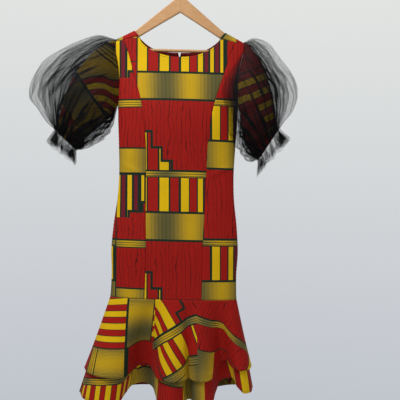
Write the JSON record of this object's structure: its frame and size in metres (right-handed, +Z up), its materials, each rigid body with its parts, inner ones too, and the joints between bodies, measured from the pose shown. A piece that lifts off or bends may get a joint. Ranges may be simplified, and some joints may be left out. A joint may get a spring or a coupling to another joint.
{
  "type": "midi dress on a wooden hanger",
  "caption": "Fitted wax-print midi dress with net puff sleeves and a two-tier flounce, hung on a plain wooden hanger by its steel hook.",
  "frame": {"origin": "the top of the inside of the hanger's hook, where a rail carries it", "axes": "+Z up, the dress's front faces -Y, the wearer's left is at +X"},
  "size_m": [0.8335, 0.17, 1.3545],
  "materials": {
    "print_cotton": "matt wax print",
    "black_net": "fine tulle, uncut in the solid",
    "beech": "satin varnish",
    "hook_steel": "plated",
    "zip_metal": "satin",
    "zip_tape": "woven"
  },
  "bodies": {
    "dress": {"front_centre": "print_cotton", "front_side_left": "print_cotton", "front_side_right": "print_cotton", "back_centre_left": "print_cotton", "back_centre_right": "print_cotton", "back_side_left": "print_cotton", "back_side_right": "print_cotton", "sleeve_left": "print_cotton", "sleeve_right": "print_cotton", "net_sleeve_left": "black_net", "net_sleeve_right": "black_net", "flounce_upper_front": "print_cotton", "flounce_upper_back": "print_cotton", "flounce_lower_front": "print_cotton", "flounce_lower_back": "print_cotton", "zip_tape": "zip_tape", "zip_slider": "zip_metal", "hanger_arm_left": "beech", "hanger_arm_right": "beech", "hanger_bar": "beech", "hanger_hook": "hook_steel"},
    "zip_tab": {"zip_pull": "zip_metal"}
  },
  "joints": [
    {"name": "zip_pull_hinge", "type": "hinge", "parent": "dress", "child": "zip_tab", "pos_m": [0, 0.02006, -0.27891], "axis": [1, 0, 0], "range_deg": [0, 175]}
  ]
}
